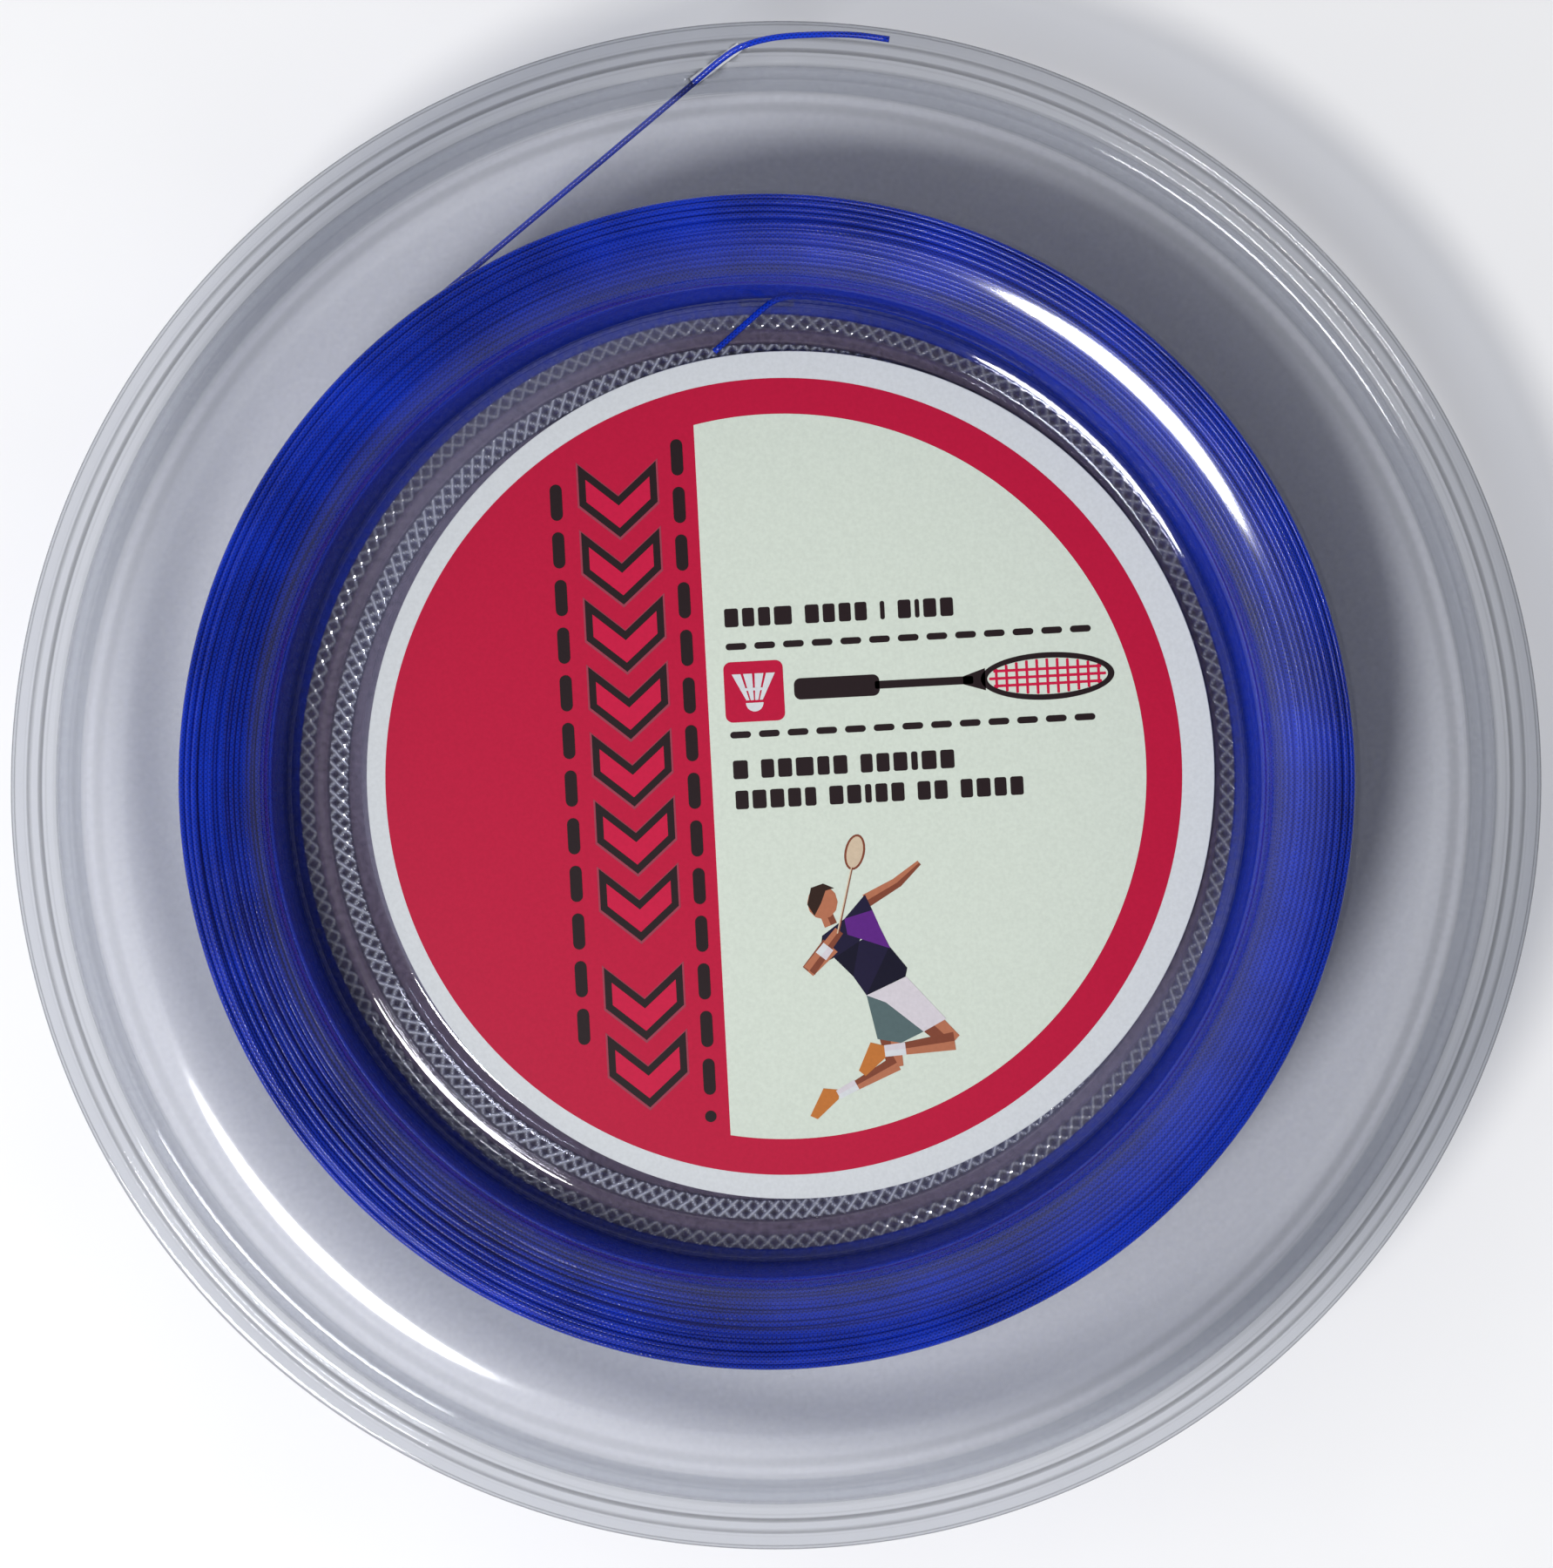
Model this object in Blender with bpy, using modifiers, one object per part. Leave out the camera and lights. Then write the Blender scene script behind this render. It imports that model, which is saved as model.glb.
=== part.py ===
"""String reel: two clear formed halves welded back to back, wound with string, a label on each web.

The reel lies on its rear flange. The origin is the middle of that flange's rim, +Z points out of the
front, and lengths are in metres. The hub and what is wound on it sit a little off the flanges' centre,
as the flanges were die-cut.
"""

from math import cos, hypot, pi, radians, sin

import bpy
from mathutils import Matrix, Vector
from mathutils.geometry import interpolate_bezier

MM = 0.001

# The reel as a whole
REEL_HEIGHT = 28.0 * MM
FLANGE_RADIUS = 80.0 * MM
HUB_CENTRE = Vector((-0.9, 0.4, 0.0)) * MM
STEPS = 64

# The formed sheet, measured on its outward face
SHEET = 0.5 * MM
WEB_GAP = 0.3 * MM
WELD_RING_FLOOR = REEL_HEIGHT / 2 + WEB_GAP / 2 + SHEET
WEB_RISE = 0.35 * MM
HUB_FOOT_RADIUS = 51.15 * MM
HUB_TOP_RADIUS = 52.05 * MM
HUB_BLEND_START = 56.0 * MM
HUB_BLEND_END = 74.0 * MM

# The string
STRING_DIAMETER = 0.67 * MM
CLEARANCE = 0.3 * MM
PACK_INNER_RADIUS = 53.0 * MM
PACK_OUTER_RADIUS = 61.8 * MM
PACK_BORE_HALF = 10.9 * MM
PACK_CROWN_HALF = 12.8 * MM
TAIL_START_DEG = 128.0
TAIL_START_HEIGHT = 17.0 * MM
INNER_START_DEG = 57.0
INNER_END_HEIGHT = 15.64 * MM

# The labels
LABEL_RADIUS = 45.6 * MM
LABEL_THICKNESS = 0.2 * MM
FRONT_LABEL_SHIFT = Vector((2.54, 0.73, 0.0)) * MM
REAR_LABEL_SHIFT = Vector((1.65, 1.25, 0.0)) * MM

# Openings cut in the front half: the cutting boxes' sizes, and where and which way the slit runs
SLIT_CUT = (6.2 * MM, 1.5 * MM, 3.0 * MM)
SLIT_PLACE = Vector((-6.2, 75.45, 27.45)) * MM
SLIT_DIRECTION = radians(36.0)
HOLE_CUT = (5.6 * MM, 2.0 * MM, 1.5 * MM)
HOLE_OFFSET = 0.1 * MM


def clear_scene():
    for obj in list(bpy.data.objects):
        bpy.data.objects.remove(obj, do_unlink=True)


def make_collection(name):
    collection = bpy.data.collections.new(name)
    bpy.context.scene.collection.children.link(collection)
    return collection


def material(name, colour, roughness, alpha=1.0):
    made = bpy.data.materials.new(name)
    made.use_nodes = True
    shader = made.node_tree.nodes["Principled BSDF"]
    shader.inputs["Base Color"].default_value = (*colour, 1.0)
    shader.inputs["Roughness"].default_value = roughness
    shader.inputs["Metallic"].default_value = 0.0
    shader.inputs["Alpha"].default_value = alpha
    return made


def add_object(name, data, collection, finish=None):
    obj = bpy.data.objects.new(name, data)
    collection.objects.link(obj)
    if finish:
        data.materials.append(finish)
    return obj


def evaluated_mesh(obj):
    """The object's mesh with its modifiers applied, or a curve's mesh."""
    bpy.context.view_layer.update()
    graph = bpy.context.evaluated_depsgraph_get()
    return bpy.data.meshes.new_from_object(obj.evaluated_get(graph))


def smooth(mesh):
    mesh.shade_smooth()
    mesh.set_sharp_from_angle(angle=radians(40))


def add_screw(obj):
    screw = obj.modifiers.new("turned", "SCREW")
    screw.axis = "Z"
    screw.angle = 2 * pi
    screw.steps = STEPS
    screw.render_steps = STEPS
    screw.use_merge_vertices = True
    screw.merge_threshold = 0.00001


def turned_mesh(name, profile, collection):
    """A mesh swept once round the Z axis from (radius, height) points."""
    outline = bpy.data.meshes.new(name + "_profile")
    points = [(radius, 0.0, height) for radius, height in profile]
    links = [(i, i + 1) for i in range(len(points) - 1)]
    outline.from_pydata(points, links, [])
    guide = add_object(name + "_guide", outline, collection)
    add_screw(guide)
    mesh = evaluated_mesh(guide)
    bpy.data.objects.remove(guide, do_unlink=True)
    mesh.name = name
    return mesh


# --- The two formed halves -----------------------------------------------------------------------


def half_shell_profile():
    """(radius, height) of a half's outward face, from the axis out to the rim's edge."""
    top = REEL_HEIGHT
    rim = [
        (FLANGE_RADIUS, top),
        (79.0 * MM, top),
        (78.45 * MM, top - 0.35 * MM),
        (77.85 * MM, top),
        (77.15 * MM, top),
        (76.6 * MM, top - 0.65 * MM),
        (76.0 * MM, top - 0.4 * MM),
    ]
    dished_flange = [
        (69.0 * MM, top - 0.28 * MM),
        (62.0 * MM, top - 0.25 * MM),
        (57.0 * MM, top - 0.55 * MM),
        (53.6 * MM, top - 1.1 * MM),
    ]
    hub_wall = [
        (52.4 * MM, top - 1.7 * MM),
        (HUB_TOP_RADIUS, top - 2.5 * MM),
        (HUB_FOOT_RADIUS, WELD_RING_FLOOR + 0.65 * MM),
        (HUB_FOOT_RADIUS - 0.5 * MM, WELD_RING_FLOOR),
    ]
    web = [
        (48.8 * MM, WELD_RING_FLOOR),
        (48.05 * MM, WELD_RING_FLOOR + WEB_RISE),
        (47.3 * MM, WELD_RING_FLOOR),
        (45.0 * MM, WELD_RING_FLOOR),
        (44.6 * MM, WELD_RING_FLOOR + WEB_RISE),
        (0.0, WELD_RING_FLOOR + WEB_RISE),
    ]
    inwards = rim + dished_flange + hub_wall + web
    return inwards[::-1]


def shift_hub(mesh):
    """Slides the hub and web sideways to the hub's centre, easing off across the flange."""
    for vertex in mesh.vertices:
        radius = hypot(vertex.co.x, vertex.co.y)
        part = (HUB_BLEND_END - radius) / (HUB_BLEND_END - HUB_BLEND_START)
        part = min(max(part, 0.0), 1.0)
        vertex.co += HUB_CENTRE * (part * part * (3 - 2 * part))


def turn_over(mesh):
    """Mirrors a half's mesh front to back and keeps its faces pointing out."""
    flip = Matrix.Translation((0, 0, REEL_HEIGHT)) @ Matrix.Diagonal((1, 1, -1, 1))
    mesh.transform(flip)
    mesh.flip_normals()


def make_half(name, collection, finish, is_rear):
    mesh = turned_mesh(name, half_shell_profile(), collection)
    shift_hub(mesh)
    if is_rear:
        turn_over(mesh)
    smooth(mesh)
    half = add_object(name, mesh, collection, finish)
    sheet = half.modifiers.new("sheet", "SOLIDIFY")
    sheet.thickness = SHEET
    sheet.offset = -1.0
    return half


def box_cutter(name, collection, size, place, direction=0.0):
    """A box whose long side runs along a direction in plan, in radians from +X."""
    bpy.ops.mesh.primitive_cube_add(size=1.0)
    cutter = bpy.context.object
    cutter.name = name
    cutter.data.name = name
    cutter.data.transform(Matrix.Rotation(direction, 4, "Z") @ Matrix.Diagonal((*size, 1.0)))
    cutter.location = place
    cutter.hide_render = True
    cutter.display_type = "WIRE"
    for owner in list(cutter.users_collection):
        owner.objects.unlink(cutter)
    collection.objects.link(cutter)
    return cutter


def cut(obj, cutter):
    opening = obj.modifiers.new(cutter.name, "BOOLEAN")
    opening.operation = "DIFFERENCE"
    opening.solver = "EXACT"
    opening.object = cutter


# --- The wound string ----------------------------------------------------------------------------


def pack_profile():
    """The winding's section, top to bottom down its outer side and back up its bore."""
    middle = REEL_HEIGHT / 2
    upper = [
        (PACK_INNER_RADIUS, PACK_BORE_HALF),
        (PACK_INNER_RADIUS + 1.3 * MM, PACK_CROWN_HALF - 0.7 * MM),
        (57.5 * MM, PACK_CROWN_HALF - 0.2 * MM),
        (60.6 * MM, PACK_CROWN_HALF),
        (PACK_OUTER_RADIUS - 0.3 * MM, PACK_CROWN_HALF - 0.5 * MM),
        (PACK_OUTER_RADIUS, PACK_CROWN_HALF - 1.6 * MM),
    ]
    lower = [(radius, -height) for radius, height in reversed(upper)]
    ring = upper + lower + upper[:1]
    return [(radius, middle + height) for radius, height in ring]


def make_pack(collection, finish):
    mesh = turned_mesh("string_pack", pack_profile(), collection)
    mesh.transform(Matrix.Translation(HUB_CENTRE))
    smooth(mesh)
    return add_object("string_pack", mesh, collection, finish)


def on_hub(radius, degrees, height):
    """A point at a radius and angle round the hub's axis."""
    angle = radians(degrees)
    return HUB_CENTRE + Vector((radius * cos(angle), radius * sin(angle), height))


def tail_route():
    """The outer end: straight off the winding, up through the slit, then along the rim."""
    off_winding = on_hub(
        PACK_OUTER_RADIUS + CLEARANCE + STRING_DIAMETER / 2, TAIL_START_DEG, TAIL_START_HEIGHT
    )
    route = [
        (-29.8, 57.0, 20.0),
        (-20.0, 64.7, 22.9),
        (-12.0, 71.0, 25.25),
        (-8.6, 73.65, 26.45),
        (-5.7, 75.85, 27.85),
        (-3.5, 77.1, 28.68),
        (-0.2, 78.0, 28.75),
        (4.3, 78.35, 28.68),
        (8.4, 78.3, 28.68),
        (11.9, 77.85, 28.68),
    ]
    return [off_winding] + [Vector(point) * MM for point in route]


def inner_route():
    """The inner end: round the hub under the winding, out through the hole, over the weld rings."""
    channel = (HUB_FOOT_RADIUS + SHEET + PACK_INNER_RADIUS) / 2
    around = [
        on_hub(channel, degrees, INNER_END_HEIGHT)
        for degrees in (INNER_START_DEG, 62.0, 67.0, 72.0, 77.0, 82.0, 86.0)
    ]
    out_of_hole = [(1.7, 52.05), (0.75, 51.7), (-0.2, 51.05), (-1.3, 50.1), (-3.5, 48.15), (-5.7, 46.2)]
    return around + [
        HUB_CENTRE + Vector((x * MM, y * MM, INNER_END_HEIGHT)) for x, y in out_of_hole
    ]


def smooth_curve(route, spacing):
    """Evenly spaced points on a smooth curve through a route's points."""
    fine = []
    last = len(route) - 1
    for i in range(last):
        here, there = route[i], route[i + 1]
        before = route[max(i - 1, 0)]
        after = route[min(i + 2, last)]
        run = (there - here).length
        leave = (there - before).normalized() * run / 3
        arrive = (after - here).normalized() * run / 3
        fine += interpolate_bezier(here, here + leave, there - arrive, there, 25)[:-1]
    fine.append(route[-1])
    length = sum((b - a).length for a, b in zip(fine, fine[1:]))
    count = round(length / spacing)
    step = length / count
    points = [fine[0]]
    walked = 0.0
    for a, b in zip(fine, fine[1:]):
        piece = (b - a).length
        while len(points) < count and walked + piece >= step * len(points):
            points.append(a.lerp(b, (step * len(points) - walked) / piece))
        walked += piece
    points.append(fine[-1])
    return points


def make_string(name, route, collection, finish):
    points = smooth_curve(route, 2.4 * STRING_DIAMETER)
    curve = bpy.data.curves.new(name, "CURVE")
    curve.dimensions = "3D"
    spline = curve.splines.new("POLY")
    spline.points.add(len(points) - 1)
    for knot, point in zip(spline.points, points):
        knot.co = (*point, 1.0)
    curve.bevel_depth = STRING_DIAMETER / 2
    curve.bevel_resolution = 2
    curve.use_fill_caps = True
    return add_object(name, curve, collection, finish)


# --- The labels ----------------------------------------------------------------------------------


def make_label(name, shift, underside, collection, finish):
    """A thin printed disc whose lower face is at a height."""
    bpy.ops.mesh.primitive_cylinder_add(
        vertices=STEPS,
        radius=LABEL_RADIUS,
        depth=LABEL_THICKNESS,
        location=HUB_CENTRE + shift + Vector((0, 0, underside + LABEL_THICKNESS / 2)),
    )
    label = bpy.context.object
    label.name = name
    label.data.name = name
    label.data.materials.append(finish)
    smooth(label.data)
    for owner in list(label.users_collection):
        owner.objects.unlink(label)
    collection.objects.link(label)
    return label


def make_labels(collection):
    face = WELD_RING_FLOOR + WEB_RISE + CLEARANCE
    print_red = material("label_print_red", (0.48, 0.012, 0.06), 0.45)
    paper = material("label_paper", (0.78, 0.80, 0.80), 0.6)
    make_label("front_label", FRONT_LABEL_SHIFT, face, collection, print_red)
    rear_underside = REEL_HEIGHT - face - LABEL_THICKNESS
    make_label("rear_label", REAR_LABEL_SHIFT, rear_underside, collection, paper)


def main():
    clear_scene()
    parts = make_collection("string_reel")
    cutters = make_collection("cutters")
    clear_sheet = material("clear_sheet", (0.62, 0.64, 0.68), 0.12, alpha=0.3)
    blue_string = material("blue_string", (0.012, 0.018, 0.30), 0.3)

    front = make_half("front_shell", parts, clear_sheet, is_rear=False)
    make_half("rear_shell", parts, clear_sheet, is_rear=True)
    cut(front, box_cutter("tail_slit", cutters, SLIT_CUT, SLIT_PLACE, SLIT_DIRECTION))
    hole_place = HUB_CENTRE + Vector((HOLE_OFFSET, HUB_FOOT_RADIUS + SHEET / 2, INNER_END_HEIGHT))
    cut(front, box_cutter("inner_hole", cutters, HOLE_CUT, hole_place))

    make_pack(parts, blue_string)
    make_string("string_tail", tail_route(), parts, blue_string)
    make_string("string_inner_end", inner_route(), parts, blue_string)
    make_labels(parts)


main()
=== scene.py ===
"""Looks of the string reel: two clear formed halves, wound string with two loose ends, two labels.

Lengths are in metres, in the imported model's frame: the reel lies on its rear flange and faces +Z.
"""

import random
from math import cos, pi, radians, sin, tau

import bpy
import numpy as np
from mathutils import Matrix, Vector
from mathutils.geometry import interpolate_bezier


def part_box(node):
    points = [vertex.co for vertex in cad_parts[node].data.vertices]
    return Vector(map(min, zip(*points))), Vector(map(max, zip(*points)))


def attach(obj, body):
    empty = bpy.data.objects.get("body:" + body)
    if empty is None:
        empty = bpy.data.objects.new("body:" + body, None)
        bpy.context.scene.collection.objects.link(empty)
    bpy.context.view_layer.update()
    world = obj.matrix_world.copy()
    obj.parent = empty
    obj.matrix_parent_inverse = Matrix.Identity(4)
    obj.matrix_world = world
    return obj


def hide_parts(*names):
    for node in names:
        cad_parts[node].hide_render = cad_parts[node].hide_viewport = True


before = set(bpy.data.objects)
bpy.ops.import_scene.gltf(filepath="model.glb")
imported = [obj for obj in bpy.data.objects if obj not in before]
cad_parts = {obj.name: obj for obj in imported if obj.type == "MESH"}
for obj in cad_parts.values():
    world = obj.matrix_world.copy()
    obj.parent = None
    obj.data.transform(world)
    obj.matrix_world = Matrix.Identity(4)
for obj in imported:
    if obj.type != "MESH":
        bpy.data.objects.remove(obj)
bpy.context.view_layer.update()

MM = 0.001

# What the frame gives
PACK_LOW, PACK_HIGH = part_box("string_pack")
REEL_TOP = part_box("front_shell")[1].z
HUB = Vector(((PACK_LOW.x + PACK_HIGH.x) / 2, (PACK_LOW.y + PACK_HIGH.y) / 2, 0.0))
PACK_OUTER = (PACK_HIGH.x - PACK_LOW.x) / 2
PACK_MIDDLE = (PACK_LOW.z + PACK_HIGH.z) / 2
PACK_CROWN = (PACK_HIGH.z - PACK_LOW.z) / 2

# The formed sheet
SHEET = 0.5 * MM
HUB_BLEND = (56.0 * MM, 74.0 * MM)
RIM_STEPS = 384
INNER_STEPS = 192
FLANGE, RIM, SHOULDER, WALL, WEB, WELD = range(6)

# The formed sheet's profile and openings, in mm
RIM_EDGE = 0.4
SHOULDER_RADIUS = 61.7
OUTER_WELD = (50.5, 48.7)
INNER_WELD = (47.3, 45.0)
WELD_DEPTH = -13.35
SLIT_CUT = (6.2, 0.95, 3.0)
SLIT_PLACE = (-6.2, 75.45, 27.3)
SLIT_DIRECTION = radians(36)
HOLE_CUT = (5.6, 2.0, 1.3)
HOLE_PLACE = (0.1, 51.4)

# The forming's unevenness: waves round the rim, size in mm, and phase; and the radii it grows between
OUTLINE_WAVES = ((2, 0.16, 0.4), (5, 0.07, 1.3))
OUTLINE_GROWTH = (70.0, 80.0)
HEIGHT_WAVE = (3, 0.06, 2.1)
HEIGHT_GROWTH = (60.0, 78.0)

# Where the loose end holds the front flange up, in mm
TAIL_PRESS = (-9.6, 72.9)
TAIL_PRESS_SPREAD = 4.5
TAIL_PRESS_LIFT = 0.5
TAIL_PRESS_END = (75.0, 76.2)

# The knurl on the weld rings
KNURL_STEPS = 1152
KNURLS_PER_TURN = 192
KNURL_PITCH = 1.55 * MM
KNURL_HEIGHT = 0.28 * MM
KNURL_ROWS = 10
OUTER_WELD_STRENGTH = 0.96
INNER_WELD_STRENGTH = 1.2

# The string
STRING = 0.67 * MM
CLEARANCE = 0.3 * MM
PACK_INNER = 53.0 * MM
TAIL_START_RADIUS = 61.8 * MM
TAIL_START_DEG = 128.0
TAIL_START_HEIGHT = 17.0 * MM
CHANNEL_RADIUS = 52.325 * MM
INNER_END_HEIGHT = 15.64 * MM
INNER_END_MIDDLE = radians(73.0)
INNER_END_SPREAD = radians(22.0)
TAIL_SIDES = 16
FACE_SIDES = 8
SIDE_SIDES = 6

# How unevenly the turns lie, in mm
SHARED_WANDER = 0.16
STACK_WANDER = 0.25
TURN_WANDER = 0.07
HEIGHT_WANDER = 0.05

# The labels
PRINT_FILM = 0.02 * MM
ART_TILT = radians(3.0)
ART_SHIFT = Vector((-0.74, -0.16, 0.0)) * MM

# Colours of the plastic's thin frosting; the wall's is a painted blue shine of the string, the web's a
# frosting with painted reflection in its tint
FROST = (0.64, 0.67, 0.80)
# Painted light: the string's blue laid into the hub wall's frosting, in place of the string's colour carried
# through the sheet
PAINTED_STRING_SHINE = (0.015, 0.035, 0.36)
# Partly painted reflection: the web's frosting, tinted purplish and strong enough to brighten the dark web as
# reflections would
WEB_FROST_AND_PAINTED_SHINE = (0.76, 0.60, 0.84)


# --- Meshes ----------------------------------------------------------------------------------------


def add_piece(name, data, finish, slot, *replaced):
    """Links an object, gives it its materials, and hides the CAD parts that it stands in for."""
    piece = bpy.data.objects.new(name, data)
    bpy.context.scene.collection.objects.link(piece)
    for made in finish if isinstance(finish, (list, tuple)) else [finish]:
        data.materials.append(made)
    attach(piece, "root")
    if replaced:
        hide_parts(*replaced)
    return piece


def mesh_of(name, vertices, faces, uvs=None):
    mesh = bpy.data.meshes.new(name)
    mesh.from_pydata([tuple(v) for v in vertices], [], faces)
    if uvs is not None:
        layer = mesh.uv_layers.new(name="along")
        layer.data.foreach_set("uv", np.asarray(uvs, dtype=np.float32).ravel())
    mesh.shade_smooth()
    return mesh


def smooth_curve(route, spacing):
    """Evenly spaced points on a smooth curve through a route's points."""
    fine = []
    last = len(route) - 1
    for i in range(last):
        here, there = route[i], route[i + 1]
        before = route[max(i - 1, 0)]
        after = route[min(i + 2, last)]
        run = (there - here).length
        leave = (there - before).normalized() * run / 3
        arrive = (after - here).normalized() * run / 3
        fine += interpolate_bezier(here, here + leave, there - arrive, there, 25)[:-1]
    fine.append(route[-1])
    length = sum((b - a).length for a, b in zip(fine, fine[1:]))
    count = max(round(length / spacing), 1)
    step = length / count
    points = [fine[0]]
    walked = 0.0
    for a, b in zip(fine, fine[1:]):
        piece = (b - a).length
        while len(points) < count and walked + piece >= step * len(points):
            points.append(a.lerp(b, (step * len(points) - walked) / piece))
        walked += piece
    points.append(fine[-1])
    return points


def tube(points, diameter, sides, closed):
    """A round tube along points that never run along Z: its vertices, faces and face-corner UVs.

    U counts diameters along the tube and V goes once round it.
    """
    path = np.array(points, dtype=float)
    count = len(path)
    if closed:
        tangent = np.roll(path, -1, axis=0) - np.roll(path, 1, axis=0)
        gaps = np.linalg.norm(np.roll(path, -1, axis=0) - path, axis=1)
    else:
        tangent = np.gradient(path, axis=0)
        gaps = np.linalg.norm(np.diff(path, axis=0), axis=1)
    tangent /= np.linalg.norm(tangent, axis=1, keepdims=True)
    across = np.cross(tangent, (0.0, 0.0, 1.0))
    across /= np.linalg.norm(across, axis=1, keepdims=True)
    upward = np.cross(across, tangent)
    turn = np.arange(sides) * tau / sides
    ring = across[:, None] * np.cos(turn)[None, :, None] + upward[:, None] * np.sin(turn)[None, :, None]
    vertices = (path[:, None] + ring * diameter / 2).reshape(-1, 3)
    spans = count if closed else count - 1
    i, j = np.meshgrid(np.arange(spans), np.arange(sides), indexing="ij")
    following, beside = (i + 1) % count, (j + 1) % sides
    quads = np.stack(
        [i * sides + j, i * sides + beside, following * sides + beside, following * sides + j], axis=-1
    )
    along = np.concatenate([[0.0], np.cumsum(gaps)]) / diameter
    uvs = np.stack(
        [
            np.stack([along[i], j / sides], axis=-1),
            np.stack([along[i], (j + 1) / sides], axis=-1),
            np.stack([along[i + 1], (j + 1) / sides], axis=-1),
            np.stack([along[i + 1], j / sides], axis=-1),
        ],
        axis=2,
    )
    faces = quads.reshape(-1, 4).tolist()
    uvs = uvs.reshape(-1, 2)
    if not closed:
        start = list(range(sides))[::-1]
        end = list(range((count - 1) * sides, count * sides))
        faces += [start, end]
        uvs = np.concatenate([uvs, np.zeros((2 * sides, 2))])
    return vertices, faces, uvs


def tubes_mesh(name, paths, diameter, sides):
    """One mesh of closed tubes."""
    vertices, faces, uvs = [], [], []
    for path in paths:
        some, quads, corners = tube(path, diameter, sides, closed=True)
        first = sum(len(v) for v in vertices)
        vertices.append(some)
        faces += [[n + first for n in quad] for quad in quads]
        uvs.append(corners)
    return mesh_of(name, np.concatenate(vertices), faces, np.concatenate(uvs))


# --- Materials -------------------------------------------------------------------------------------


def new_material(name):
    """An empty node material: its nodes, a linking function, and its output."""
    made = bpy.data.materials.new(name)
    made.use_nodes = True
    tree = made.node_tree
    tree.nodes.clear()
    output = tree.nodes.new("ShaderNodeOutputMaterial")

    def link(source, target):
        tree.links.new(source, target)

    return made, tree.nodes, link, output


def noise(nodes, link, source, scale, detail=2.0):
    made = nodes.new("ShaderNodeTexNoise")
    made.inputs["Scale"].default_value = scale
    made.inputs["Detail"].default_value = detail
    link(source, made.inputs["Vector"])
    return made.outputs["Fac"]


def maths(nodes, link, operation, first, second=None, third=None):
    made = nodes.new("ShaderNodeMath")
    made.operation = operation
    for socket, value in zip(made.inputs, (first, second, third)):
        if isinstance(value, bpy.types.NodeSocket):
            link(value, socket)
        elif value is not None:
            socket.default_value = value
    return made.outputs[0]


def ramp(nodes, link, source, stops):
    """A colour ramp from (position, colour) stops."""
    made = nodes.new("ShaderNodeValToRGB")
    elements = made.color_ramp.elements
    while len(elements) < len(stops):
        elements.new(0.5)
    for element, (position, colour) in zip(elements, stops):
        element.position = position
        element.color = (*colour, 1.0)
    link(source, made.inputs["Fac"])
    return made.outputs["Color"]


def bump(nodes, link, height, distance, strength=1.0):
    made = nodes.new("ShaderNodeBump")
    made.inputs["Strength"].default_value = strength
    made.inputs["Distance"].default_value = distance
    link(height, made.inputs["Height"])
    return made.outputs["Normal"]


def sheet_material(
    name, tint, mirror, graze, haze=0.004, gloss_roughness=0.04, edge=0.0, knurled=False, frosting=FROST
):
    """Clear formed plastic: tinted see-through that deepens where the sheet turns edge-on, and its gloss.

    The mirror share grows from mirror to mirror + graze towards grazing. Haze is the share of frosting.
    """
    ripple_scale, ripple_depth = 45.0, 0.04 * MM
    grain_scale = 1500.0
    graze_power, knurl_power = 5.0, 4.0
    knurl_frosting = 0.34
    far_share = 0.3
    made, nodes, link, output = new_material(name)
    place = nodes.new("ShaderNodeTexCoord").outputs["Object"]
    ripple = noise(nodes, link, place, ripple_scale, 1.0)
    normal = bump(nodes, link, ripple, ripple_depth)
    facing = nodes.new("ShaderNodeLayerWeight")
    facing.inputs["Blend"].default_value = 0.5
    steep = maths(nodes, link, "POWER", facing.outputs["Facing"], graze_power)
    mirrored = maths(nodes, link, "MULTIPLY_ADD", steep, graze, mirror)
    clear = nodes.new("ShaderNodeBsdfTransparent")
    clear.inputs["Color"].default_value = (*tint, 1.0)
    if edge:
        deep = tuple(channel * (1 - edge) for channel in tint)
        far = tuple(channel * (1 - far_share * edge) for channel in tint)
        shades = ramp(nodes, link, facing.outputs["Facing"], [(0.04, tint), (0.32, deep), (0.62, far)])
        link(shades, clear.inputs["Color"])
    frost = nodes.new("ShaderNodeBsdfDiffuse")
    frost.inputs["Color"].default_value = (*frosting, 1.0)
    gloss = nodes.new("ShaderNodeBsdfGlossy")
    gloss.inputs["Color"].default_value = (1.0, 1.0, 1.0, 1.0)
    gloss.inputs["Roughness"].default_value = gloss_roughness
    body = nodes.new("ShaderNodeMixShader")
    grain = noise(nodes, link, place, grain_scale, 3.0)
    share = maths(nodes, link, "MULTIPLY", grain, 2 * haze)
    if knurled:
        ridges = nodes.new("ShaderNodeAttribute")
        ridges.attribute_name = "knurl"
        sharp = maths(nodes, link, "POWER", ridges.outputs["Fac"], knurl_power)
        share = maths(nodes, link, "MULTIPLY_ADD", sharp, knurl_frosting, haze)
    else:
        link(normal, gloss.inputs["Normal"])
    link(share, body.inputs[0])
    link(clear.outputs[0], body.inputs[1])
    link(frost.outputs[0], body.inputs[2])
    skin = nodes.new("ShaderNodeMixShader")
    link(mirrored, skin.inputs[0])
    link(body.outputs[0], skin.inputs[1])
    link(gloss.outputs[0], skin.inputs[2])
    link(skin.outputs[0], output.inputs["Surface"])
    return made


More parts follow.
